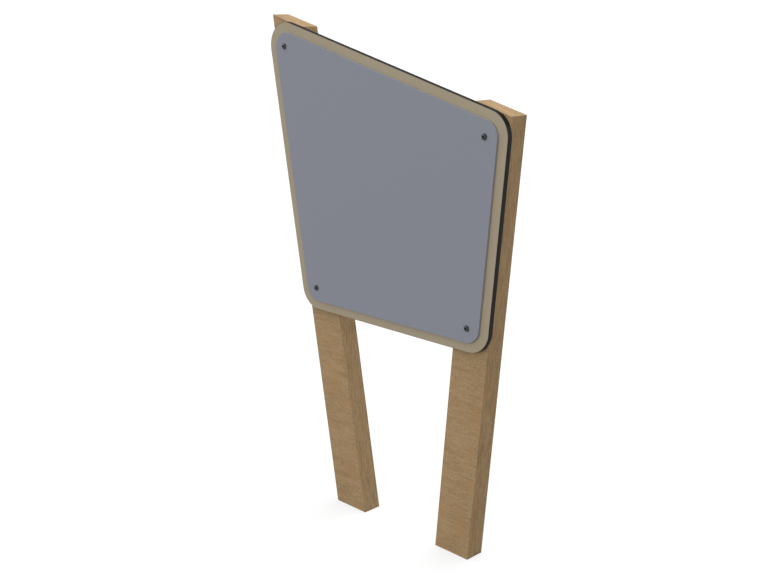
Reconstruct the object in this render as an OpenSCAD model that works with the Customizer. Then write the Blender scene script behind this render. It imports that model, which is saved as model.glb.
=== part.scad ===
// Park interpretation sign: a rounded laminate board and an info plate, bolted to two leaning timber posts.
// Frame: +X to the reader's right, +Y to the back, +Z up, origin on the ground under the middle of the sign.

/* [Posts] */
// Width of a post across its front
post_width = 100; // [80:1:120]
// Depth of a post from front to back
post_depth = 50; // [38:1:70]
// Radius of a post's eased long edges
post_edge_radius = 2; // [1:0.5:8]
// Outward lean of the left post, in degrees
left_lean = 10; // [2:0.25:14]
// Outward lean of the right post, in degrees
right_lean = 5.25; // [2:0.25:14]
// Clear gap between the two feet on the ground
foot_gap = 236; // [150:1:400]
// Height of the left post's high corner above the ground
sign_height = 1200; // [1000:10:1400]
// Slope of the sign's top, down to the right, in degrees
top_slope = 14.5; // [5:0.5:18]

/* [Board] */
// Height of the board's bottom edge above the ground
board_bottom = 499; // [350:1:600]
// Distance that the board stands out past a post's outer side
board_overhang = 7; // [0:0.5:20]
// Distance that the board's top edge stands up past the slope of the posts' tops
board_rise = 1.25; // [0:0.25:5]
// Radius of the board's corners
board_corner_radius = 56; // [40:1:80]
// Thickness of the board's black core
core_thickness = 12; // [8:0.5:18]
// Thickness of a decor layer on either face of the core
decor_thickness = 0.5; // [0.3:0.1:1]
// Chamfer along the core's edges, which runs on through the decor layers
core_chamfer = 0.3; // [0.2:0.1:1.5]

/* [Info plate] */
// Thickness of the info plate
plate_thickness = 5; // [3:0.5:8]
// Margin of bare board beside the info plate's left and right edges
plate_side_margin = 24; // [10:0.5:30]
// Margin of bare board above and below the info plate
plate_end_margin = 22; // [10:0.5:30]
// Radius of the info plate's corners
plate_corner_radius = 37; // [20:1:60]
// Chamfer along the edges of both faces of the info plate
plate_chamfer = 0.7; // [0.3:0.1:1.2]

/* [Bolts] */
// Thread diameter of a bolt
bolt_diameter = 8; // [6:1:10]
// Distance of a bolt from the slope of the posts' tops, and from the board's bottom edge
bolt_edge_inset = 55; // [45:1:80]
// Gap all round a bolt's shank in the wood, board and plate
bolt_hole_clearance = 0.5; // [0.2:0.1:1]
// Diameter of a bolt's domed head
head_diameter = 14; // [13:0.5:18]
// Height of a bolt's domed head
head_height = 4.4; // [3.5:0.1:6]
// Height of the straight rim under the dome of a head
head_rim = 0.8; // [0.4:0.1:1.5]
// Diameter of the flat land round a head's socket
head_land_diameter = 7.6; // [7:0.1:9]
// Width across the flats of a head's hexagon socket
socket_width = 5; // [4:0.5:6]
// Depth of a head's hexagon socket
socket_depth = 2.6; // [1.5:0.1:3]
// Length of the chamfer on a bolt's end
bolt_end_chamfer = 1; // [0.4:0.1:1.5]

/* [Washers and nuts] */
// Diameter of a washer
washer_diameter = 24; // [20:1:30]
// Thickness of a washer
washer_thickness = 2; // [1:0.5:3]
// Gap all round a bolt's shank in a washer
washer_clearance = 0.2; // [0.1:0.1:0.5]
// Width across the flats of a cap nut
nut_width = 13; // [12.5:0.5:17]
// Height of a cap nut with its dome
nut_height = 15; // [14.5:0.5:20]
// Height of the hexagon part of a cap nut
nut_hexagon_height = 6.5; // [5:0.5:8]
// Length of bolt that a cap nut takes in
nut_grip = 10; // [5:0.5:10]
// Depth of a cap nut's thread
nut_thread_depth = 11; // [10.5:0.5:11.5]

/* [Hidden] */
$fn = 96;
// Step from the nut's flats in to its dome, all round
nut_dome_step = 0.25;
// Gap between the bolt and the nut's thread, all round
thread_clearance = 0.05;
// Overrun of a cut past the face that it opens
overrun = 2;
// Lap of a corner's boss over the straight edges beside it, so that they merge
corner_lap = 0.01;
// Share of the edges' chamfer, in height and in slope, that a corner gets, so that the two cross cleanly
corner_share = 0.95;

board_thickness = core_thickness + 2 * decor_thickness;
stack_front = board_thickness + plate_thickness;
bolt_hole = bolt_diameter + 2 * bolt_hole_clearance;
bolt_length = stack_front + post_depth + washer_thickness + nut_grip;

// An edge of the sign seen from the front is [outward normal, distance from the middle of the foot gap]
function edge_through(normal, point) = [normal, normal * point];
function moved_out(edge, distance) = [edge[0], edge[1] + distance];
function crossing(a, b) =
    let (spread = a[0][0] * b[0][1] - a[0][1] * b[0][0])
    [(a[1] * b[0][1] - b[1] * a[0][1]) / spread, (a[0][0] * b[1] - b[0][0] * a[1]) / spread];

// Centres of the arcs that round an outline's corners, each between one edge and the next
function corner_centres(edges, radius) = [
    for (i = [0:len(edges) - 1])
        crossing(moved_out(edges[i], -radius), moved_out(edges[(i + 1) % len(edges)], -radius))
];

// Outer sides of the two posts, the ground and the one slope that cuts both posts' tops
left_foot_corner = [-foot_gap / 2 - post_width / cos(left_lean), 0];
right_foot_corner = [foot_gap / 2 + post_width / cos(right_lean), 0];
left_side = edge_through([-cos(left_lean), -sin(left_lean)], left_foot_corner);
right_side = edge_through([cos(right_lean), -sin(right_lean)], right_foot_corner);
ground = edge_through([0, -1], [0, 0]);
high_corner = [left_foot_corner[0] - sign_height * tan(left_lean), sign_height];
top_edge = edge_through([sin(top_slope), cos(top_slope)], high_corner);

// Board: left, bottom, right and top edges, in order round the outline
bottom_edge = moved_out(ground, -board_bottom);
board_edges = [
    moved_out(left_side, board_overhang),
    bottom_edge,
    moved_out(right_side, board_overhang),
    moved_out(top_edge, board_rise)
];
plate_margins = [plate_side_margin, plate_end_margin, plate_side_margin, plate_end_margin];
plate_edges = [for (i = [0:3]) moved_out(board_edges[i], -plate_margins[i])];

// Bolts sit on the posts' centre lines
post_middles = [moved_out(left_side, -post_width / 2), moved_out(right_side, -post_width / 2)];
bolt_levels = [moved_out(top_edge, -bolt_edge_inset), moved_out(bottom_edge, -bolt_edge_inset)];
bolt_places = [for (middle = post_middles) for (level = bolt_levels) crossing(middle, level)];

// Middle of the whole sign, from the farthest points on each side
board_corners = corner_centres(board_edges, board_corner_radius);
left_reach = min(high_corner[0], board_corners[3][0] - board_corner_radius);
right_reach = max(crossing(right_side, top_edge)[0], board_corners[2][0] + board_corner_radius);
middle_x = (left_reach + right_reach) / 2;
front_reach = -stack_front - head_height;
back_reach = post_depth + washer_thickness + nut_height;
middle_y = (front_reach + back_reach) / 2;

// Stands a front-view shape upright, from y = front towards the back
module upright(front, thickness) {
    translate([0, front + thickness, 0]) rotate([90, 0, 0]) linear_extrude(height = thickness) children();
}

// Round hole from front to back at each bolt
module bolt_holes(front, thickness) {
    for (place = bolt_places)
        translate([place[0], front + thickness + overrun, place[1]])
            rotate([90, 0, 0]) cylinder(d = bolt_hole, h = thickness + 2 * overrun);
}

// Half of a sheet's section, from the axis of a corner out to the edge and its two chamfers.
// share is each chamfer's width as a share of its height. The section runs on past both faces, so that
// the sheet's layers can be cut from it.
module edge_section(reach, chamfer, thickness, spare, share) {
    slant = (chamfer + spare) * share;
    polygon([
        [0, -spare],
        [reach - slant, -spare],
        [reach, chamfer],
        [reach, thickness - chamfer],
        [reach - slant, thickness + spare],
        [0, thickness + spare]
    ]);
}

// Uncut sheet with rounded corners and eased edges: a bar along each edge, a round boss in each corner
// and a middle that laps over them. Each overruns the sheet's faces by its own measure.
module eased_sheet(edges, radius, chamfer, front, thickness) {
    inset = radius - corner_lap;
    centres = corner_centres(edges, inset);
    middle_lap = radius / 4;
    translate([0, front + thickness, 0]) rotate([90, 0, 0]) {
        translate([0, 0, -overrun])
            linear_extrude(height = thickness + 2 * overrun)
                polygon(corner_centres(edges, inset - middle_lap));
        for (i = [0:len(edges) - 1]) {
            normal = edges[i][0];
            last = centres[(i + len(edges) - 1) % len(edges)];
            translate(centres[i]) rotate([90, 0, atan2(normal[1], normal[0])])
                linear_extrude(height = norm(centres[i] - last))
                    edge_section(inset, chamfer, thickness, 2 * overrun, 1);
            translate(centres[i]) rotate_extrude()
                edge_section(radius, chamfer * corner_share, thickness, 3 * overrun, corner_share);
        }
    }
}

// Keeps what lies between two depths, and drills the four bolt holes
module layer(front, thickness) {
    reach = 2 * sign_height;
    difference() {
        intersection() {
            children();
            upright(front, thickness) translate([-reach / 2, 0]) square(reach);
        }
        bolt_holes(front, thickness);
    }
}

// Decor layer on one face of the board, its edges in line with the core's chamfers
module decor_layer(front) {
    layer(front, decor_thickness)
        eased_sheet(board_edges, board_corner_radius, core_chamfer + decor_thickness, -board_thickness,
            board_thickness);
}

// Cross-section of a post, with its four long edges eased
module post_section() {
    flat_width = post_width - 2 * post_edge_radius;
    flat_depth = post_depth - 2 * post_edge_radius;
    translate([-flat_width / 2, 0]) square([flat_width, post_depth]);
    translate([-post_width / 2, post_edge_radius]) square([post_width, flat_depth]);
    for (x = [-flat_width / 2, flat_width / 2])
        for (y = [post_edge_radius, post_depth - post_edge_radius])
            translate([x, y]) circle(r = post_edge_radius);
}

// Post leaning about its foot, cut level on the ground and on the sign's top slope.
// turn is positive for a post that leans to the right, and middle is its centre line.
module post(turn, middle) {
    foot = crossing(middle, ground);
    spare = post_width + post_edge_radius;
    bar_length = sign_height / cos(turn) + 2 * spare;
    reach = abs(foot[0]) + sign_height;
    difference() {
        intersection() {
            translate([foot[0], 0, 0]) rotate([0, turn, 0])
                translate([0, 0, -spare]) linear_extrude(height = bar_length) post_section();
            upright(-overrun, post_depth + 2 * overrun)
                polygon([
                    [-reach, 0],
                    [reach, 0],
                    crossing([[1, 0], reach], top_edge),
                    crossing([[-1, 0], reach], top_edge)
                ]);
        }
        bolt_holes(0, post_depth);
    }
}

// Domed head on the front, with a flat land round its hexagon socket, and a shank that ends in the nut.
// The dome is a ball through the rim's and the land's edges.
module bolt() {
    rim_radius = head_diameter / 2;
    land_radius = head_land_diameter / 2;
    dome_rise = head_height - head_rim;
    dome_spread = rim_radius * rim_radius - land_radius * land_radius;
    dome_centre = head_rim + dome_rise / 2 - dome_spread / (2 * dome_rise);
    difference() {
        intersection() {
            cylinder(r = rim_radius, h = head_height);
            translate([0, 0, dome_centre]) sphere(r = norm([rim_radius, head_rim - dome_centre]));
        }
        translate([0, 0, head_height - socket_depth])
            cylinder(d = socket_width / cos(30), h = socket_depth + overrun, $fn = 6);
    }
    shank = bolt_length - bolt_end_chamfer;
    translate([0, 0, -shank]) cylinder(d = bolt_diameter, h = shank);
    translate([0, 0, -bolt_length])
        cylinder(d1 = bolt_diameter - 2 * bolt_end_chamfer, d2 = bolt_diameter, h = bolt_end_chamfer);
}

module washer() {
    difference() {
        cylinder(d = washer_diameter, h = washer_thickness);
        translate([0, 0, -overrun])
            cylinder(d = bolt_diameter + 2 * washer_clearance, h = washer_thickness + 2 * overrun);
    }
}

// Cap nut on z = 0, its dome upwards: a chamfered hexagon, a short neck and a round end
module cap_nut() {
    corner_width = nut_width / cos(30);
    dome = nut_width - 2 * nut_dome_step;
    difference() {
        union() {
            intersection() {
                cylinder(d = corner_width, h = nut_hexagon_height, $fn = 6);
                cylinder(d1 = nut_width + 2 * nut_hexagon_height, d2 = nut_width, h = nut_hexagon_height);
                cylinder(d1 = nut_width, d2 = nut_width + 2 * nut_hexagon_height, h = nut_hexagon_height);
            }
            cylinder(d = dome, h = nut_height - dome / 2);
            translate([0, 0, nut_height - dome / 2]) sphere(d = dome);
        }
        translate([0, 0, -overrun])
            cylinder(d = bolt_diameter + 2 * thread_clearance, h = nut_thread_depth + overrun);
    }
}

// Puts a fastener at each bolt, its axis from front to back; facing is 1 to the front and -1 to the back
module at_bolts(depth, facing) {
    for (place = bolt_places)
        translate([place[0], depth, place[1]]) rotate([90 * facing, 0, 0]) children();
}

module in_frame() {
    translate([-middle_x, -middle_y, 0]) children();
}

module left_post() {
    color([0.60, 0.50, 0.37]) in_frame() post(-left_lean, post_middles[0]);
}

module right_post() {
    color([0.60, 0.50, 0.37]) in_frame() post(right_lean, post_middles[1]);
}

module rear_decor() {
    color([0.60, 0.56, 0.48]) in_frame() decor_layer(-decor_thickness);
}

module board_core() {
    color([0.15, 0.15, 0.15]) in_frame()
        layer(decor_thickness - board_thickness, core_thickness)
            eased_sheet(board_edges, board_corner_radius, core_chamfer, decor_thickness - board_thickness,
                core_thickness);
}

module front_decor() {
    color([0.60, 0.56, 0.48]) in_frame() decor_layer(-board_thickness);
}

module info_plate() {
    color([0.51, 0.52, 0.56]) in_frame()
        layer(-stack_front, plate_thickness)
            eased_sheet(plate_edges, plate_corner_radius, plate_chamfer, -stack_front, plate_thickness);
}

module bolts() {
    color([0.20, 0.20, 0.20]) in_frame() at_bolts(-stack_front, 1) bolt();
}

module washers() {
    color([0.75, 0.75, 0.76]) in_frame() at_bolts(post_depth, -1) washer();
}

module cap_nuts() {
    color([0.75, 0.75, 0.76]) in_frame() at_bolts(post_depth + washer_thickness, -1) cap_nut();
}

left_post();
right_post();
board_core();
front_decor();
rear_decor();
info_plate();
bolts();
washers();
cap_nuts();
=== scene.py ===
"""Finishes, studio light and camera of a park interpretation sign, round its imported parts.

Everything stands in metres in the sign's own frame: +X to the reader's right, +Y to the back, +Z up,
with the origin on the ground under the middle of the sign. The pieces' sizes and the patterns of the
finishes are in millimetres.
"""

from math import cos, hypot, pi, radians, sin, tan

import bmesh
import bpy
from mathutils import Euler, Matrix, Vector


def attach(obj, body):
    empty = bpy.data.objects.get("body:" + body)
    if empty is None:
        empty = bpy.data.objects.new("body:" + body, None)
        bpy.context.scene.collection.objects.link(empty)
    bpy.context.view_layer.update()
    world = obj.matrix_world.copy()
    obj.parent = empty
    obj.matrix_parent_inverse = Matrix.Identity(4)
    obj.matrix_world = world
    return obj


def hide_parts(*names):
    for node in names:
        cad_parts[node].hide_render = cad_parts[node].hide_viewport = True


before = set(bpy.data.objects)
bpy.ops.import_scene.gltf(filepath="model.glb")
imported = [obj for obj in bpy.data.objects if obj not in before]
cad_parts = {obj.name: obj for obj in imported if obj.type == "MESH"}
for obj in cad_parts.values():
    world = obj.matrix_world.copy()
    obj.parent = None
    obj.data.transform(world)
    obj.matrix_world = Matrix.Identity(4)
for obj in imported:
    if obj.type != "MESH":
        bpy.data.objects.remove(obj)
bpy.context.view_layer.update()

MILLIMETRE = 0.001

# Camera, fitted to the straight edges of the photographed sign: metres, degrees and, for the lens
# and the sensor, millimetres
CAMERA_PLACE = Vector((1.7384, -1.7267, 1.2253))
CAMERA_HEADING = 45.104
CAMERA_DIP = 14.760
CAMERA_LENS = 50.20
CAMERA_REACH = 100.0
SENSOR_WIDTH = 36.0

# Posts, in millimetres and degrees: a lean is positive to the right. A sample is the place in the
# wood that a post's grain is taken from.
LEANS = {"left_post": -10.0, "right_post": 5.25}
GRAIN_SAMPLES = {"left_post": (310.0, 45.0, 120.0), "right_post": (905.0, 380.0, 2260.0)}
POST_WIDTH = 100.0
POST_DEPTH = 50.0
POST_EDGE_RADIUS = 2.0
POST_END_EASING = 0.6
FOOT_GAP = 236.0
SIGN_HEIGHT = 1200.0
TOP_SLOPE = 14.5

# Board and info plate, in millimetres. A margin is for the plate's sides, then for its ends.
BOARD_BOTTOM = 499.0
BOARD_OVERHANG = 7.0
BOARD_RISE = 1.25
BOARD_RADIUS = 56.0
BOARD_THICKNESS = 13.0
BOARD_CHAMFER = 0.8
DECOR_THICKNESS = 0.5
PLATE_THICKNESS = 5.0
PLATE_MARGINS = (24.0, 22.0)
PLATE_RADIUS = 37.0
PLATE_CHAMFER = 0.7

# Fasteners, in millimetres. The washer's outer rim is rounded through one middle point, at a share of
# its easing, and the nut's dome changes to its cap between two shares of its radius.
BOLT_INSET = 55.0
BOLT_DIAMETER = 8.0
BOLT_LENGTH = 80.0
BOLT_END_CHAMFER = 1.0
BOLT_HOLE = 9.0
HEAD_DIAMETER = 14.0
HEAD_HEIGHT = 4.4
HEAD_RIM = 0.8
HEAD_LAND = 7.6
SOCKET_WIDTH = 5.0
SOCKET_DEPTH = 2.6
WASHER_DIAMETER = 24.0
WASHER_BORE = 8.4
WASHER_THICKNESS = 2.0
WASHER_ROUNDING_SHARE = 0.6
NUT_WIDTH = 13.0
NUT_HEIGHT = 15.0
NUT_HEXAGON = 6.5
NUT_DOME = 12.5
NUT_DOME_SHARES = (0.94, 0.96)
NUT_BORE = 8.1
NUT_BORE_DEPTH = 11.0
FINE_EDGE = 0.2

# How finely round stretches are stepped, how far a cutting shape runs past what it cuts, how close two
# points are when they count as one, both in millimetres, and from how many degrees a crease stays sharp
ROUND_STEPS = 72
CORNER_STEPS = 28
HEAD_STEPS = 12
DOME_STEPS = 14
CAP_STEPS = 5
POST_EDGE_STEPS = 6
RIM_STEPS = 3
FINE_STEPS = 2
OVERRUN = 2.0
MERGE = 0.001
FLAT_CREASE = 12.0
TURNED_CREASE = 25.0

# Light: each lamp is a broad sun, so that it falls evenly on the whole sign. A level of 1 shows a
# colour as it is written, on a face that looks straight at the lamp. A spread is in degrees.
SKY_LEVEL = 1.04
KEY_LEVEL = 0.595
KEY_FROM = Vector((-0.03, 0.37, 0.928))
KEY_SPREAD = 50.0
FILL_LEVEL = 0.36
FILL_FROM = Vector((-0.20, -0.972, 0.12))
FILL_SPREAD = 40.0
GLINT_LEVEL = 0.14
GLINT_FROM = Vector((-0.69, -0.25, 0.67))
GLINT_SPREAD = 9.0

# Floor: its side in metres, its clouds' size in millimetres, its tone in the thin and the thick of a
# cloud, and the glow that makes it look white
FLOOR_SIZE = 60.0
FLOOR_CLOUD = 900.0
FLOOR_TONE = 0.20
FLOOR_CLOUD_TONE = 0.208
FLOOR_GLOW = 0.73

# Colours of the finishes, in 8-bit steps, and the share of its brightness that stained steel keeps
WHITE = (255, 255, 255)
TIMBER_LIGHT = (161, 136, 102)
TIMBER_DARK = (137, 113, 81)
TIMBER_WARM = (160, 122, 80)
DECOR_FACE = (150, 139, 118)
DECOR_EDGE = (50, 48, 47)
CORE_BLACK = (48, 47, 48)
# The dark of the black edge's upward faces: painted shade
CORE_TOP_SHADE = (14, 14, 14)
CORE_GREY = (72, 69, 72)
PLATE_FACE = (125, 128, 137)
# The plate's edge colour is lighter than its face: painted light on its side walls
PLATE_EDGE_PAINTED_LIGHT = (143, 144, 151)
DARK_STEEL = (24, 24, 24)
BRIGHT_STEEL = (190, 190, 192)
STAIN_SHARE = 0.9


def edge_through(normal, point):
    """An edge of the sign seen from the front, as its outward normal and its distance from the middle
    of the foot gap."""
    normal = Vector(normal)
    return normal, normal.dot(Vector(point))


def moved_out(edge, distance):
    """The same edge, that much further out."""
    return edge[0], edge[1] + distance


def crossing(edge, other):
    """The point where two edges meet."""
    spread = edge[0].cross(other[0])
    across = (edge[1] * other[0].y - other[1] * edge[0].y) / spread
    up = (edge[0].x * other[1] - other[0].x * edge[1]) / spread
    return Vector((across, up))


def rounded(edges, radius):
    """The points of the outline inside the edges, its corners rounded."""
    points = []
    for edge, after in zip(edges, edges[1:] + edges[:1]):
        centre = crossing(moved_out(edge, -radius), moved_out(after, -radius))
        turn = edge[0].angle_signed(after[0])
        for step in range(CORNER_STEPS + 1):
            points.append(centre + radius * (Matrix.Rotation(-turn * step / CORNER_STEPS, 2) @ edge[0]))
    return points


# Edges of the sign seen from the front, X to the right and Y up. The posts' outer sides lean, and the
# board's four edges follow the posts, the ground and the slope of the tops.
TURNS = {post: radians(lean) for post, lean in LEANS.items()}
LEFT_TURN, RIGHT_TURN = TURNS["left_post"], TURNS["right_post"]
LEFT_CORNER = (-FOOT_GAP / 2 - POST_WIDTH / cos(LEFT_TURN), 0.0)
RIGHT_CORNER = (FOOT_GAP / 2 + POST_WIDTH / cos(RIGHT_TURN), 0.0)
LEFT_SIDE = edge_through((-cos(LEFT_TURN), sin(LEFT_TURN)), LEFT_CORNER)
RIGHT_SIDE = edge_through((cos(RIGHT_TURN), -sin(RIGHT_TURN)), RIGHT_CORNER)
GROUND = edge_through((0.0, -1.0), (0.0, 0.0))
HIGH_CORNER = (LEFT_CORNER[0] + SIGN_HEIGHT * tan(LEFT_TURN), SIGN_HEIGHT)
TOP_EDGE = edge_through((sin(radians(TOP_SLOPE)), cos(radians(TOP_SLOPE))), HIGH_CORNER)
BOTTOM_EDGE = moved_out(GROUND, -BOARD_BOTTOM)
BOARD_EDGES = [
    moved_out(LEFT_SIDE, BOARD_OVERHANG),
    BOTTOM_EDGE,
    moved_out(RIGHT_SIDE, BOARD_OVERHANG),
    moved_out(TOP_EDGE, BOARD_RISE),
]
PLATE_EDGES = [moved_out(edge, -margin) for edge, margin in zip(BOARD_EDGES, 2 * PLATE_MARGINS)]

# The posts' centre lines, and the bolts where two levels cross them
MIDDLES = {
    "left_post": moved_out(LEFT_SIDE, -POST_WIDTH / 2),
    "right_post": moved_out(RIGHT_SIDE, -POST_WIDTH / 2),
}
BOLT_LEVELS = [moved_out(TOP_EDGE, -BOLT_INSET), moved_out(BOTTOM_EDGE, -BOLT_INSET)]
BOLT_PLACES = [crossing(middle, level) for middle in MIDDLES.values() for level in BOLT_LEVELS]

# Depths from the posts' front, below zero towards the reader
BOARD_FRONT = -BOARD_THICKNESS
CORE_FRONT = BOARD_FRONT + DECOR_THICKNESS
CORE_BACK = -DECOR_THICKNESS
PLATE_FRONT = BOARD_FRONT - PLATE_THICKNESS
WASHER_BACK = POST_DEPTH + WASHER_THICKNESS

# The middle of the whole sign's box, and from it, in metres, the middle of each post's foot
REACHES = [point.x for point in rounded(BOARD_EDGES, BOARD_RADIUS)]
REACHES += [HIGH_CORNER[0], crossing(RIGHT_SIDE, TOP_EDGE).x]
MIDDLE = Vector((
    (min(REACHES) + max(REACHES)) / 2,
    (PLATE_FRONT - HEAD_HEIGHT + WASHER_BACK + NUT_HEIGHT) / 2,
    0.0,
))
FEET = {
    post: (Vector((crossing(middle, GROUND).x, POST_DEPTH / 2, 0.0)) - MIDDLE) * MILLIMETRE
    for post, middle in MIDDLES.items()
}


def shade(colour):
    """The linear colour, with alpha, of a colour in 8-bit steps."""
    steps = [part / 255 for part in colour]
    linear = [step / 12.92 if step <= 0.04045 else ((step + 0.055) / 1.055) ** 2.4 for step in steps]
    return (*linear, 1.0)


class Nodes:
    """A node tree that is filled by plain calls. All but feed, add and parts give back one output."""

    def __init__(self, tree):
        self.tree = tree

    def feed(self, sockets, plugs):
        """Plugs values and other nodes' outputs into sockets, each by its name or number."""
        for key, value in plugs.items():
            if isinstance(value, bpy.types.NodeSocket):
                self.tree.links.new(value, sockets[key])
            else:
                sockets[key].default_value = value

    def add(self, kind, plugs=None, **settings):
        """A new node with its settings, and its inputs fed."""
        node = self.tree.nodes.new("ShaderNode" + kind)
        for name, value in settings.items():
            setattr(node, name, value)
        self.feed(node.inputs, plugs or {})
        return node

    def maths(self, operation, *values):
        return self.add("Math", dict(enumerate(values)), operation=operation).outputs[0]

    def total(self, first, *others):
        """The sum of several values."""
        for value in others:
            first = self.maths("ADD", first, value)
        return first

    def vector(self, operation, *values):
        return self.add("VectorMath", dict(enumerate(values)), operation=operation).outputs["Vector"]

    def scaled(self, vector, factor):
        """A vector, or a colour, times a number."""
        return self.add("VectorMath", {"Vector": vector, "Scale": factor}, operation="SCALE").outputs[0]

    def parts(self, vector):
        """The outputs X, Y and Z of a vector."""
        return self.add("SeparateXYZ", {"Vector": vector}).outputs

    def noise(self, place, size, detail=2.0, roughness=0.5):
        """Noise from 0 to 1 whose lumps measure size, in millimetres along X, Y and Z."""
        lumps = self.vector("DIVIDE", place, size)
        plugs = {"Vector": lumps, "Scale": 1.0, "Detail": detail, "Roughness": roughness}
        return self.add("TexNoise", plugs).outputs[0]

    def swing(self, value, reach):
        """A value from 0 to 1 turned into one from -reach to reach."""
        return self.maths("MULTIPLY_ADD", value, 2 * reach, -reach)

    def step(self, value, low, high):
        """0 below low, 1 above high and a smooth climb between them."""
        plugs = {"Value": value, "From Min": low, "From Max": high}
        return self.add("MapRange", plugs, interpolation_type="SMOOTHSTEP").outputs[0]

    def mix(self, share, first, second):
        """The first colour, going over into the second as share climbs from 0 to 1."""
        return self.add("Mix", {0: share, 6: first, 7: second}, data_type="RGBA").outputs[2]


def shader_group(name, inputs, outputs):
    """A new node group with the sockets named, its nodes, and its inputs' and outputs' sockets."""
    group = bpy.data.node_groups.new(name, "ShaderNodeTree")
    for label, kind in inputs.items():
        group.interface.new_socket(label, in_out="INPUT", socket_type="NodeSocket" + kind)
    for label, kind in outputs.items():
        group.interface.new_socket(label, in_out="OUTPUT", socket_type="NodeSocket" + kind)
    taken = group.nodes.new("NodeGroupInput").outputs
    given = group.nodes.new("NodeGroupOutput").inputs
    return group, Nodes(group), taken, given


def edge_wear_group():
    """A mask that is 1 on a piece's edges and 0 a wear width away from them, broken up in patches."""
    inputs = {"Width": "Float", "Break-up": "Vector"}
    group, nodes, taken, given = shader_group("Edge wear", inputs, {"Mask": "Float"})
    softened = nodes.add("Bevel", {"Radius": taken["Width"]}, samples=6).outputs[0]
    normal = nodes.add("NewGeometry").outputs["Normal"]
    turn = nodes.add("VectorMath", {0: softened, 1: normal}, operation="DISTANCE").outputs["Value"]
    patchy = nodes.noise(taken["Break-up"], (9.0, 9.0, 9.0), detail=4.0, roughness=0.7)
    mask = nodes.maths("MULTIPLY", nodes.step(turn, 0.05, 0.55), nodes.step(patchy, 0.30, 0.62))
    nodes.feed(given, {"Mask": mask})
    return group


EDGE_WEAR = edge_wear_group()


def worn_edge(nodes, place, width, strength):
    """The mask of a piece's worn edges. Its width is in millimetres and its strength at most 1."""
    plugs = {"Width": width * MILLIMETRE, "Break-up": place}
    wear = nodes.add("Group", plugs, node_tree=EDGE_WEAR).outputs["Mask"]
    return nodes.maths("MULTIPLY", wear, strength)


def cross_figure(nodes, level):
    """The crosswise figure of a post's front and back: wavy streaks, wide bands, short dashes and flecks.
    Gives back the figure, the streaks and the flecks."""
    wander = nodes.swing(nodes.noise(level, (38.0, 60.0, 30.0), detail=3.0), 7.0)
    waved = nodes.vector("ADD", level, nodes.add("CombineXYZ", {"Z": wander}).outputs[0])
    streak = nodes.noise(waved, (30.0, 30.0, 3.0), detail=4.0, roughness=0.6)
    band = nodes.noise(waved, (95.0, 70.0, 13.0))
    dash = nodes.step(nodes.noise(waved, (13.0, 13.0, 1.5), detail=1.0), 0.665, 0.79)
    fleck = nodes.step(nodes.noise(waved, (8.0, 8.0, 0.7), detail=3.0, roughness=0.6), 0.54, 0.70)
    figure = nodes.total(
        nodes.swing(streak, 0.95),
        nodes.swing(band, 0.55),
        nodes.maths("MULTIPLY", dash, 0.30),
        nodes.maths("MULTIPLY", fleck, 0.55),
    )
    return figure, streak, fleck


def lengthwise_figure(nodes, leaning):
    """The lengthwise figure of a post's sides: swaying lines, fine fibres and vessels. Gives back the
    figure, the fibres and the vessels."""
    fibre = nodes.noise(leaning, (0.8, 0.8, 40.0), detail=4.0, roughness=0.6)
    sway = nodes.swing(nodes.noise(leaning, (60.0, 60.0, 45.0)), 5.0)
    swayed = nodes.vector("ADD", leaning, nodes.add("CombineXYZ", {"X": sway, "Y": sway}).outputs[0])
    line = nodes.noise(swayed, (4.0, 4.0, 42.0), detail=4.0, roughness=0.62)
    vessel = nodes.step(nodes.noise(swayed, (0.7, 0.7, 9.0), detail=3.0, roughness=0.6), 0.54, 0.70)
    figure = nodes.total(
        nodes.swing(line, 2.0),
        nodes.swing(fibre, 0.30),
        nodes.maths("MULTIPLY", vessel, 0.55),
    )
    return figure, fibre, vessel


def sawn_rings(nodes, level):
    """The rings on a post's sawn ends, bowed across its width."""
    bow = nodes.swing(nodes.noise(level, (55.0, 55.0, 55.0), detail=1.0), 16.0)
    bowed = nodes.vector("ADD", level, nodes.add("CombineXYZ", {"Y": bow}).outputs[0])
    return nodes.swing(nodes.noise(bowed, (80.0, 4.5, 80.0), detail=3.0, roughness=0.6), 2.4)


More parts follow.
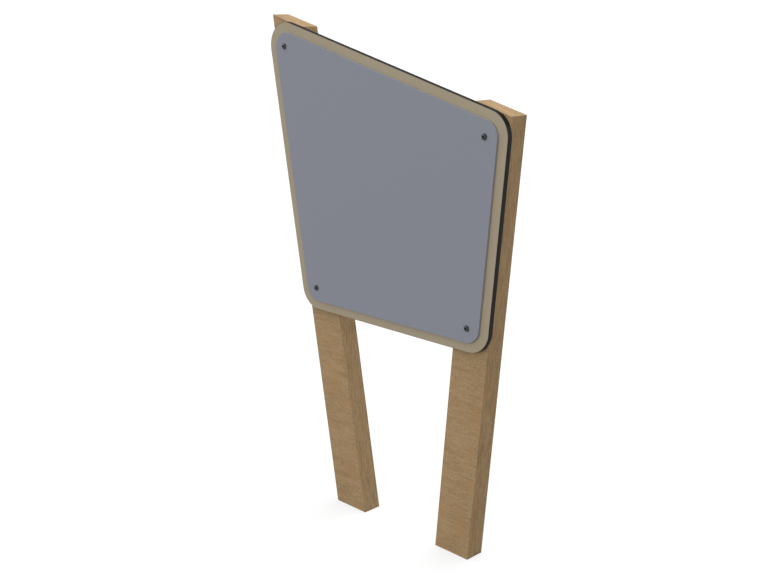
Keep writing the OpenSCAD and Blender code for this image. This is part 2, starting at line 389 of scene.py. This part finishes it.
def timber_group():
    """Planed timber with a fine cross figure.

    Level is a place in one post's own stretch of wood, in millimetres, with Z straight up, Leaning is the
    same place with Z along the post, and Facing is the surface's normal along the post's own axes.
    """
    inputs = {"Level": "Vector", "Leaning": "Vector", "Facing": "Vector"}
    outputs = {"Colour": "Color", "Roughness": "Float", "Height": "Float"}
    group, nodes, taken, given = shader_group("Figured timber", inputs, outputs)
    level, leaning = taken["Level"], taken["Leaning"]
    side_on, front_on, end_on = nodes.parts(nodes.vector("ABSOLUTE", taken["Facing"]))
    on_front = nodes.step(front_on, 0.35, 0.75)
    on_side = nodes.step(side_on, 0.35, 0.75)
    on_end = nodes.step(end_on, 0.5, 0.85)

    cross, streak, fleck = cross_figure(nodes, level)
    along, fibre, vessel = lengthwise_figure(nodes, leaning)
    pore = nodes.step(nodes.noise(leaning, (0.8, 0.8, 5.0)), 0.60, 0.75)
    pore = nodes.maths("MULTIPLY", pore, on_end)

    # From light timber at 0 to dark at 1
    tone = nodes.total(
        nodes.maths("MULTIPLY", cross, on_front),
        nodes.maths("MULTIPLY", along, on_side),
        nodes.maths("MULTIPLY", sawn_rings(nodes, level), on_end),
        nodes.swing(nodes.noise(level, (60.0, 50.0, 70.0), detail=3.0), 0.35),
        nodes.swing(nodes.noise(leaning, (5.0, 5.0, 6.0)), 0.75),
        nodes.swing(fibre, 0.10),
        nodes.maths("MULTIPLY_ADD", on_end, 0.12, 0.43),
    )
    colour = nodes.mix(tone, shade(TIMBER_LIGHT), shade(TIMBER_DARK))
    warmth = nodes.step(nodes.noise(leaning, (24.0, 24.0, 60.0), detail=3.0), 0.48, 0.72)
    colour = nodes.mix(nodes.maths("MULTIPLY", warmth, 0.5), colour, shade(TIMBER_WARM))
    colour = nodes.mix(nodes.maths("MULTIPLY", pore, 0.3), colour, shade(TIMBER_DARK))
    colour = nodes.mix(worn_edge(nodes, leaning, width=2.0, strength=0.10), colour, shade(TIMBER_LIGHT))

    gloss = nodes.total(
        nodes.maths("MULTIPLY_ADD", streak, -0.14, 0.74),
        nodes.swing(fibre, 0.12),
        nodes.maths("MULTIPLY", on_end, 0.14),
    )
    hollow = nodes.total(
        nodes.maths("MULTIPLY", fleck, on_front),
        nodes.maths("MULTIPLY", vessel, on_side),
        pore,
    )
    height = nodes.maths("MULTIPLY_ADD", streak, 0.4, nodes.maths("MULTIPLY", fibre, 0.9))
    height = nodes.maths("SUBTRACT", height, nodes.maths("MULTIPLY", hollow, 0.6))
    nodes.feed(given, {"Colour": colour, "Roughness": gloss, "Height": height})
    return group


def laminate_group():
    """A matt pressed surface: a colour with fine speckle, faint clouds and a pearly grain."""
    inputs = {"Place": "Vector", "Colour": "Color", "Depth of tone": "Float"}
    outputs = {"Colour": "Color", "Roughness": "Float", "Height": "Float"}
    group, nodes, taken, given = shader_group("Pressed laminate", inputs, outputs)
    place = taken["Place"]
    speckle = nodes.noise(place, (0.7, 0.7, 0.7), detail=3.0, roughness=0.7)
    cloud = nodes.noise(place, (70.0, 70.0, 70.0), detail=4.0, roughness=0.6)
    swing = nodes.total(nodes.swing(speckle, 0.5), nodes.swing(cloud, 0.5))
    brightness = nodes.maths("MULTIPLY_ADD", swing, taken["Depth of tone"], 1.0)
    gloss = nodes.maths("MULTIPLY_ADD", speckle, 0.16, 0.52)
    pearl = nodes.noise(place, (0.5, 0.5, 0.5))
    toned = nodes.scaled(taken["Colour"], brightness)
    nodes.feed(given, {"Colour": toned, "Roughness": gloss, "Height": pearl})
    return group


TIMBER = timber_group()
LAMINATE = laminate_group()


def finish(name, specular=0.5, metallic=0.0):
    """A new material, its nodes and its Principled shader's inputs."""
    material = bpy.data.materials.new(name)
    material.use_nodes = True
    sockets = material.node_tree.nodes["Principled BSDF"].inputs
    sockets["Specular IOR Level"].default_value = specular
    sockets["Metallic"].default_value = metallic
    return material, Nodes(material.node_tree), sockets


def own_place(nodes):
    """A piece's own coordinates, in millimetres."""
    return nodes.scaled(nodes.add("TexCoord").outputs["Object"], 1 / MILLIMETRE)


def own_facing(nodes):
    """How far a surface faces along its piece's X, Y and Z, each from -1 to 1."""
    return nodes.parts(nodes.add("TexCoord").outputs["Normal"])


def coat(nodes, sockets, colour, gloss, height, depth):
    """Gives a finish its colour, its roughness and its relief, depth millimetres deep where height is 1."""
    normal = nodes.add("Bump", {"Height": height, "Distance": depth * MILLIMETRE}).outputs[0]
    nodes.feed(sockets, {"Base Color": colour, "Roughness": gloss, "Normal": normal})


def pressed_sheet(nodes, place, colour, depth_of_tone):
    """The colour, roughness and height of a pressed laminate."""
    plugs = {"Place": place, "Colour": shade(colour), "Depth of tone": depth_of_tone}
    return nodes.add("Group", plugs, node_tree=LAMINATE).outputs


def timber_finish(name, post):
    """Timber for one post: the lengthwise grain follows the post's lean, and the cross figure lies
    level."""
    material, nodes, sockets = finish(name, specular=0.11)
    coordinates = nodes.add("TexCoord").outputs
    upright = {"Angle": -TURNS[post]}
    from_foot = {"Vector": coordinates["Object"], "Location": -FEET[post]}
    place = nodes.add("Mapping", from_foot, vector_type="POINT").outputs[0]
    place = nodes.scaled(place, 1 / MILLIMETRE)
    along = nodes.add("VectorRotate", {"Vector": place} | upright, rotation_type="Y_AXIS").outputs[0]
    facing = {"Vector": coordinates["Normal"]} | upright
    plugs = {
        "Level": nodes.vector("ADD", place, GRAIN_SAMPLES[post]),
        "Leaning": nodes.vector("ADD", along, GRAIN_SAMPLES[post]),
        "Facing": nodes.add("VectorRotate", facing, rotation_type="Y_AXIS").outputs[0],
    }
    grain = nodes.add("Group", plugs, node_tree=TIMBER).outputs
    coat(nodes, sockets, grain["Colour"], grain["Roughness"], grain["Height"], depth=0.12)
    return material


def decor_finish(name):
    """The decor layer of the board, whose dark backing shows all round its eased rim."""
    material, nodes, sockets = finish(name, specular=0.18)
    place = own_place(nodes)
    pressed = pressed_sheet(nodes, place, DECOR_FACE, depth_of_tone=0.12)
    wear = worn_edge(nodes, place, width=0.6, strength=0.35)
    worn = nodes.mix(wear, pressed["Colour"], shade(CORE_BLACK))
    flat = nodes.step(nodes.maths("ABSOLUTE", own_facing(nodes)["Y"]), 0.975, 0.995)
    colour = nodes.mix(flat, shade(DECOR_EDGE), worn)
    coat(nodes, sockets, colour, pressed["Roughness"], pressed["Height"], depth=0.02)
    return material


def core_finish(name):
    """The board's sawn black edge: fine lines of its layers, and painted shade that darkens its upward
    faces in patches.
    """
    material, nodes, sockets = finish(name, specular=0.02)
    place = own_place(nodes)
    layers = nodes.noise(place, (60.0, 0.22, 60.0))
    chatter = nodes.noise(place, (1.6, 40.0, 1.6))
    pressed = pressed_sheet(nodes, place, CORE_BLACK, depth_of_tone=0.12)
    line = nodes.maths("MULTIPLY", nodes.step(layers, 0.45, 0.75), 0.22)
    colour = nodes.mix(line, pressed["Colour"], shade(CORE_GREY))
    colour = nodes.mix(worn_edge(nodes, place, width=0.9, strength=0.25), colour, shade(CORE_GREY))
    # Painted shade: the black edge's upward faces are darkened in patches
    patchy = nodes.maths("MULTIPLY_ADD", nodes.noise(place, (30.0, 5.0, 30.0), detail=3.0), 0.4, 0.65)
    painted_top_shade = nodes.maths("MULTIPLY", nodes.step(own_facing(nodes)["Z"], 0.1, 0.8), patchy)
    colour = nodes.mix(painted_top_shade, colour, shade(CORE_TOP_SHADE))
    gloss = nodes.maths("MULTIPLY_ADD", chatter, 0.25, 0.42)
    height = nodes.total(nodes.maths("MULTIPLY", layers, 0.6), chatter)
    coat(nodes, sockets, colour, gloss, height, depth=0.04)
    return material


def plate_finish(name):
    """The info plate: blue-grey all through, smooth on its faces and sawn round its edge, whose colour is
    painted lighter than the faces' as painted light on its side walls.
    """
    material, nodes, sockets = finish(name, specular=0.18)
    place = own_place(nodes)
    pressed = pressed_sheet(nodes, place, PLATE_FACE, depth_of_tone=0.014)
    layers = nodes.maths("MULTIPLY", nodes.noise(place, (60.0, 0.3, 60.0)), 0.12)
    # The side walls take the edge colour, painted lighter than the face as painted light, with fine lines
    # of the layers
    edge = nodes.mix(layers, shade(PLATE_EDGE_PAINTED_LIGHT), shade(CORE_GREY))
    flat = nodes.step(nodes.maths("ABSOLUTE", own_facing(nodes)["Y"]), 0.55, 0.8)
    colour = nodes.mix(flat, edge, pressed["Colour"])
    colour = nodes.mix(worn_edge(nodes, place, width=0.7, strength=0.20), colour, shade(PLATE_EDGE_PAINTED_LIGHT))
    gloss = nodes.maths("SUBTRACT", pressed["Roughness"], 0.04)
    coat(nodes, sockets, colour, gloss, pressed["Height"], depth=0.015)
    return material


def steel_finish(name, colour, metallic, shine, rub):
    """Turned steel: fine turning marks, slight stains and brighter rubbed edges. Shine is its roughness
    where it has no stain, and rub how far its edges are rubbed bright."""
    material, nodes, sockets = finish(name, metallic=metallic)
    place = own_place(nodes)
    stain = nodes.noise(place, (5.0, 5.0, 5.0), detail=4.0, roughness=0.65)
    marks = nodes.noise(place, (0.25, 2.5, 0.25))
    stained = [part * STAIN_SHARE for part in colour]
    worn = nodes.mix(nodes.step(stain, 0.45, 0.75), shade(colour), shade(stained))
    worn = nodes.mix(worn_edge(nodes, place, width=0.6, strength=rub), worn, shade(BRIGHT_STEEL))
    gloss = nodes.total(nodes.maths("MULTIPLY_ADD", stain, 0.22, shine), nodes.swing(marks, 0.05))
    coat(nodes, sockets, worn, gloss, marks, depth=0.01)
    return material


def extrude(shape, face, along):
    """Grows a face of the shape into a solid, along that vector."""
    grown = bmesh.ops.extrude_face_region(shape, geom=[face])["geom"]
    far = [item for item in grown if isinstance(item, bmesh.types.BMVert)]
    bmesh.ops.translate(shape, verts=far, vec=along)
    bmesh.ops.recalc_face_normals(shape, faces=shape.faces)


def ease(shape, edges, offset, segments):
    """Rounds the edges off."""
    bmesh.ops.bevel(shape, geom=edges, offset=offset, segments=segments, profile=0.5, affect="EDGES",
                    clamp_overlap=False, material=-1)


def eased_sheet(edges, radius, chamfer, front, thickness):
    """A sheet with rounded corners and eased rims, from y = front towards the back."""
    shape = bmesh.new()
    outline = [shape.verts.new((point.x, front, point.y)) for point in rounded(edges, radius)]
    extrude(shape, shape.faces.new(outline), (0.0, thickness, 0.0))
    rims = [edge for edge in shape.edges if edge.verts[0].co.y == edge.verts[1].co.y]
    ease(shape, rims, chamfer, RIM_STEPS)
    return shape


def cut_flat(shape, point, normal):
    """Cuts off what lies beyond a plane and closes the cut. Gives back the edges round it."""
    geom = shape.verts[:] + shape.edges[:] + shape.faces[:]
    cut = bmesh.ops.bisect_plane(shape, geom=geom, plane_co=point, plane_no=normal, clear_outer=True)
    rim = [item for item in cut["geom_cut"] if isinstance(item, bmesh.types.BMEdge)]
    bmesh.ops.edgeloop_fill(shape, edges=rim)
    bmesh.ops.recalc_face_normals(shape, faces=shape.faces)
    return rim


def board_layer(front, back):
    """One layer of the eased board, between two depths."""
    shape = eased_sheet(BOARD_EDGES, BOARD_RADIUS, BOARD_CHAMFER, BOARD_FRONT, BOARD_THICKNESS)
    if front > BOARD_FRONT:
        cut_flat(shape, (0.0, front, 0.0), (0.0, -1.0, 0.0))
    if back < 0.0:
        cut_flat(shape, (0.0, back, 0.0), (0.0, 1.0, 0.0))
    return shape


def post_shape(post):
    """A planed post with eased long edges, leaning about its foot and cut level below and sloping above."""
    length = SIGN_HEIGHT / cos(TURNS[post]) + 2 * POST_WIDTH
    beam = Matrix.Diagonal((POST_WIDTH, POST_DEPTH, length, 1.0))
    beam = Matrix.Translation((0.0, POST_DEPTH / 2, SIGN_HEIGHT / 2)) @ beam
    shape = bmesh.new()
    bmesh.ops.create_cube(shape, size=1.0, matrix=beam)
    long_edges = [edge for edge in shape.edges if edge.calc_length() > 2 * POST_WIDTH]
    ease(shape, long_edges, POST_EDGE_RADIUS, POST_EDGE_STEPS)
    foot = Matrix.Translation((crossing(MIDDLES[post], GROUND).x, 0.0, 0.0))
    bmesh.ops.transform(shape, verts=shape.verts, matrix=foot @ Matrix.Rotation(TURNS[post], 4, "Y"))
    rims = cut_flat(shape, (0.0, 0.0, 0.0), (0.0, 0.0, -1.0))
    ease(shape, rims, POST_END_EASING, FINE_STEPS)
    slope, high = TOP_EDGE[0], TOP_EDGE[0] * TOP_EDGE[1]
    rims = cut_flat(shape, (high.x, 0.0, high.y), (slope.x, 0.0, slope.y))
    ease(shape, rims, POST_END_EASING, FINE_STEPS)
    return shape


def turned(section, closed=False):
    """A turned shape: a half section, as points of radius and height, spun about the Z axis."""
    shape = bmesh.new()
    points = [shape.verts.new((radius, 0.0, height)) for radius, height in section]
    after = points[1:] + points[:1] if closed else points[1:]
    lines = [shape.edges.new(pair) for pair in zip(points, after)]
    bmesh.ops.spin(shape, geom=points + lines, cent=(0.0, 0.0, 0.0), axis=(0.0, 0.0, 1.0), angle=2 * pi,
                   steps=ROUND_STEPS, use_merge=True)
    bmesh.ops.remove_doubles(shape, verts=shape.verts, dist=MERGE)
    bmesh.ops.recalc_face_normals(shape, faces=shape.faces)
    return shape


def corner_radius(width):
    """From the middle to the corners of a hexagon that measures width across its flats."""
    return width / 2 / cos(pi / 6)


def hexagon_bar(width, low, high):
    """A bar with a hexagonal section, that width across its flats, along the Z axis."""
    shape = bmesh.new()
    seat = Matrix.Translation((0.0, 0.0, low)) @ Matrix.Rotation(pi / 2, 4, "Z")
    ring = bmesh.ops.create_circle(shape, cap_ends=True, segments=6, radius=corner_radius(width),
                                   matrix=seat)
    extrude(shape, ring["verts"][0].link_faces[0], (0.0, 0.0, high - low))
    return shape


def mesh_of(name, shape):
    """A new mesh with what the shape holds. The shape itself is given up."""
    mesh = bpy.data.meshes.new(name)
    shape.to_mesh(mesh)
    shape.free()
    return mesh


def in_scene(name, data):
    """A new object in the scene, of a mesh, a lamp or a camera."""
    item = bpy.data.objects.new(name, data)
    bpy.context.scene.collection.objects.link(item)
    return item


def carved(shape, tool, operation):
    """The shape with the tool's shape taken from it, added to it, or all but what they share removed."""
    items = [in_scene("carving", mesh_of("carving", part)) for part in (shape, tool)]
    step = items[0].modifiers.new("carving", "BOOLEAN")
    step.object, step.operation, step.solver = items[1], operation, "EXACT"
    result = bmesh.new()
    result.from_object(items[0], bpy.context.evaluated_depsgraph_get())
    for item in items:
        mesh = item.data
        bpy.data.objects.remove(item)
        bpy.data.meshes.remove(mesh)
    return result


def at_bolts(shape, depth, facing):
    """Copies of a fastener at the four bolts. Its upper end faces the front where facing is 1, and the
    back where it is -1."""
    one = mesh_of("fastener", shape)
    several = bmesh.new()
    for place in BOLT_PLACES:
        copy = bmesh.new()
        copy.from_mesh(one)
        seat = Matrix.Translation((place.x, depth, place.y)) @ Matrix.Rotation(facing * pi / 2, 4, "X")
        bmesh.ops.transform(copy, verts=copy.verts, matrix=seat)
        moved = mesh_of("fastener", copy)
        several.from_mesh(moved)
        bpy.data.meshes.remove(moved)
    bpy.data.meshes.remove(one)
    return several


def drilled(shape):
    """The shape with a hole from front to back at each bolt."""
    radius, length = BOLT_HOLE / 2, POST_DEPTH - PLATE_FRONT + 2 * OVERRUN
    drill = turned([(0.0, -length), (radius, -length), (radius, 0.0), (0.0, 0.0)])
    return carved(shape, at_bolts(drill, PLATE_FRONT - OVERRUN, 1), "DIFFERENCE")


def arc(centre, radius, low, high, steps):
    """Points of radius and height on an arc about a centre on the axis, between two heights."""
    heights = [low + (high - low) * step / steps for step in range(steps + 1)]
    return [(max(radius ** 2 - (height - centre) ** 2, 0.0) ** 0.5, height) for height in heights]


def bolt_shape():
    """A button head with a hexagon socket, on a shank whose end is chamfered."""
    rim, land, shank = HEAD_DIAMETER / 2, HEAD_LAND / 2, BOLT_DIAMETER / 2
    rise = HEAD_HEIGHT - HEAD_RIM
    centre = HEAD_RIM + rise / 2 - (rim ** 2 - land ** 2) / (2 * rise)
    dome = arc(centre, hypot(rim, HEAD_RIM - centre), HEAD_RIM, HEAD_HEIGHT, HEAD_STEPS)
    section = [(0.0, -BOLT_LENGTH), (shank - BOLT_END_CHAMFER, -BOLT_LENGTH)]
    section += [(shank, BOLT_END_CHAMFER - BOLT_LENGTH), (shank, 0.0)]
    section += [(rim - FINE_EDGE, 0.0), (rim, FINE_EDGE)] + dome + [(0.0, HEAD_HEIGHT)]
    socket = hexagon_bar(SOCKET_WIDTH, HEAD_HEIGHT - SOCKET_DEPTH, HEAD_HEIGHT + OVERRUN)
    head = carved(turned(section), socket, "DIFFERENCE")
    mouth = [vert for vert in head.verts if vert.co.z > HEAD_HEIGHT - MERGE
             and vert.co.xy.length < corner_radius(SOCKET_WIDTH) + MERGE]
    lip = [edge for edge in head.edges if all(vert in mouth for vert in edge.verts)]
    ease(head, lip, FINE_EDGE, FINE_STEPS)
    return head


def washer_shape():
    """A wide washer with eased edges, its outer rim rounded at the back."""
    inner, outer, edge, top = WASHER_BORE / 2, WASHER_DIAMETER / 2, FINE_EDGE, WASHER_THICKNESS
    middle = edge * WASHER_ROUNDING_SHARE
    section = [(inner, edge), (inner + edge, 0.0), (outer - edge, 0.0), (outer, edge)]
    section += [(outer, top - 2 * edge), (outer - middle, top - middle), (outer - 2 * edge, top)]
    section += [(inner + edge, top), (inner, top - edge)]
    return turned(section, closed=True)


def cap_nut_shape():
    """A cap nut: a chamfered hexagon with a neck and a dome, bored from below."""
    flat, dome, bore = NUT_WIDTH / 2, NUT_DOME / 2, NUT_BORE / 2
    spare = corner_radius(NUT_WIDTH) - flat + FINE_EDGE
    blank = [(0.0, 0.0), (flat, 0.0), (flat + spare, spare), (flat + spare, NUT_HEXAGON - spare)]
    blank += [(flat, NUT_HEXAGON), (0.0, NUT_HEXAGON)]
    bar = hexagon_bar(NUT_WIDTH, -OVERRUN, NUT_HEXAGON + OVERRUN)
    sides = [edge for edge in bar.edges if edge.calc_length() > NUT_HEXAGON + OVERRUN]
    ease(bar, sides, FINE_EDGE, RIM_STEPS)
    hexagon = carved(bar, turned(blank), "INTERSECT")
    centre = NUT_HEIGHT - dome
    side_end, cap_start = (centre + dome * share for share in NUT_DOME_SHARES)
    body = [(0.0, NUT_HEXAGON / 2), (dome, NUT_HEXAGON / 2), (dome, NUT_HEXAGON + FINE_EDGE)]
    body += arc(centre, dome, centre, side_end, DOME_STEPS)
    body += arc(centre, dome, cap_start, NUT_HEIGHT, CAP_STEPS)
    nut = carved(hexagon, turned(body), "UNION")
    hollow = [(0.0, -OVERRUN), (bore + OVERRUN + FINE_EDGE, -OVERRUN), (bore, FINE_EDGE)]
    hollow += [(bore, NUT_BORE_DEPTH), (0.0, NUT_BORE_DEPTH)]
    return carved(nut, turned(hollow), "DIFFERENCE")


def in_order(shape):
    """The same shape with its points and faces in a fixed order. Carving and turning give them in any
    order, and where close points are joined, the result would lie a little differently each run."""
    points = sorted(shape.verts, key=lambda vert: tuple(vert.co))
    numbers = {vert: number for number, vert in enumerate(points)}
    ordered = bmesh.new()
    copies = [ordered.verts.new(vert.co) for vert in points]
    loops = []
    for face in shape.faces:
        loop = [numbers[vert] for vert in face.verts]
        start = loop.index(min(loop))
        loops.append(loop[start:] + loop[:start])
    for loop in sorted(loops):
        ordered.faces.new([copies[number] for number in loop])
    shape.free()
    return ordered


def fit(name, shape, node, material, crease):
    """Makes a piece of a shape in millimetres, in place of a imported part. Creases of that many degrees
    stay sharp."""
    to_frame = Matrix.Scale(MILLIMETRE, 4) @ Matrix.Translation(-MIDDLE)
    bmesh.ops.transform(shape, verts=shape.verts, matrix=to_frame)
    shape = in_order(shape)
    bmesh.ops.remove_doubles(shape, verts=shape.verts, dist=MERGE * MILLIMETRE)
    mesh = mesh_of(name, shape)
    mesh.shade_smooth()
    mesh.set_sharp_from_angle(angle=radians(crease))
    mesh.materials.append(material)
    piece = in_scene(name, mesh)
    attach(piece, "root")
    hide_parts(node)


def sun(name, level, spread, source):
    """A broad soft lamp that shines from source towards the sign. A sun of strength pi has the level 1."""
    lamp = bpy.data.lights.new(name, "SUN")
    lamp.energy = level * pi
    lamp.angle = radians(spread)
    in_scene(name, lamp).rotation_euler = source.to_track_quat("Z", "Y").to_euler()


def sky():
    """A white studio all round, and plain white to the camera."""
    world = bpy.data.worlds.new("Studio")
    world.use_nodes = True
    bpy.context.scene.world = world
    backdrop = world.node_tree.nodes["Background"].inputs
    backdrop["Color"].default_value = shade(WHITE)
    backdrop["Strength"].default_value = SKY_LEVEL


def floor():
    """A wide pale floor that looks white and keeps the sign's faint shadow."""
    material = bpy.data.materials.new("Pale floor")
    material.use_nodes = True
    tree = material.node_tree
    tree.nodes.clear()
    nodes = Nodes(tree)
    ray = nodes.add("LightPath").outputs
    seen = nodes.maths("MAXIMUM", ray["Is Camera Ray"], ray["Is Glossy Ray"])
    seen = nodes.maths("MAXIMUM", seen, ray["Is Transmission Ray"])
    cloud = nodes.noise(own_place(nodes), (FLOOR_CLOUD, FLOOR_CLOUD, FLOOR_CLOUD))
    thin, thick = ((tone, tone, tone, 1.0) for tone in (FLOOR_TONE, FLOOR_CLOUD_TONE))
    matt = nodes.add("BsdfDiffuse", {"Color": nodes.mix(cloud, thin, thick)}).outputs[0]
    glow = nodes.add("Emission", {"Strength": nodes.maths("MULTIPLY", seen, FLOOR_GLOW)}).outputs[0]
    both = nodes.add("AddShader", {0: matt, 1: glow}).outputs[0]
    nodes.add("OutputMaterial", {"Surface": both})
    shape = bmesh.new()
    bmesh.ops.create_grid(shape, x_segments=1, y_segments=1, size=FLOOR_SIZE / 2)
    mesh = mesh_of("floor", shape)
    mesh.materials.append(material)
    item = in_scene("floor", mesh)


def camera():
    """The camera at the photo's place and angle."""
    data = bpy.data.cameras.new("camera")
    data.lens = CAMERA_LENS
    data.sensor_width = SENSOR_WIDTH
    data.clip_end = CAMERA_REACH
    item = in_scene("camera", data)
    item.location = CAMERA_PLACE
    item.rotation_euler = Euler((radians(90 - CAMERA_DIP), 0, radians(CAMERA_HEADING)))
    bpy.context.scene.camera = item


camera()
sky()
sun("key", KEY_LEVEL, KEY_SPREAD, KEY_FROM)
sun("fill", FILL_LEVEL, FILL_SPREAD, FILL_FROM)
sun("glint", GLINT_LEVEL, GLINT_SPREAD, GLINT_FROM)
floor()

for post in LEANS:
    wood = timber_finish("Timber of the " + post.replace("_", " "), post)
    fit(post + "_planed", drilled(post_shape(post)), post, wood, FLAT_CREASE)

decor = decor_finish("Sand laminate")
core = core_finish("Black core")
plate = plate_finish("Blue-grey plate")
plate_sheet = eased_sheet(PLATE_EDGES, PLATE_RADIUS, PLATE_CHAMFER, PLATE_FRONT, PLATE_THICKNESS)
fit("rear_decor_sheet", drilled(board_layer(CORE_BACK, 0.0)), "rear_decor", decor, FLAT_CREASE)
fit("board_core_sheet", drilled(board_layer(CORE_FRONT, CORE_BACK)), "board_core", core, FLAT_CREASE)
fit("front_decor_sheet", drilled(board_layer(BOARD_FRONT, CORE_FRONT)), "front_decor", decor, FLAT_CREASE)
fit("info_plate_sheet", drilled(plate_sheet), "info_plate", plate, FLAT_CREASE)

blackened = steel_finish("Blackened steel", DARK_STEEL, metallic=0.0, shine=0.10, rub=0.12)
bright = steel_finish("Bright steel", BRIGHT_STEEL, metallic=1.0, shine=0.22, rub=0.10)
bolts = at_bolts(bolt_shape(), PLATE_FRONT, 1)
washers = at_bolts(washer_shape(), POST_DEPTH, -1)
nuts = at_bolts(cap_nut_shape(), WASHER_BACK, -1)
fit("button_bolts", bolts, "bolts", blackened, TURNED_CREASE)
fit("wide_washers", washers, "washers", bright, TURNED_CREASE)
fit("domed_nuts", nuts, "cap_nuts", bright, TURNED_CREASE)

bpy.context.scene.view_settings.view_transform = "Standard"
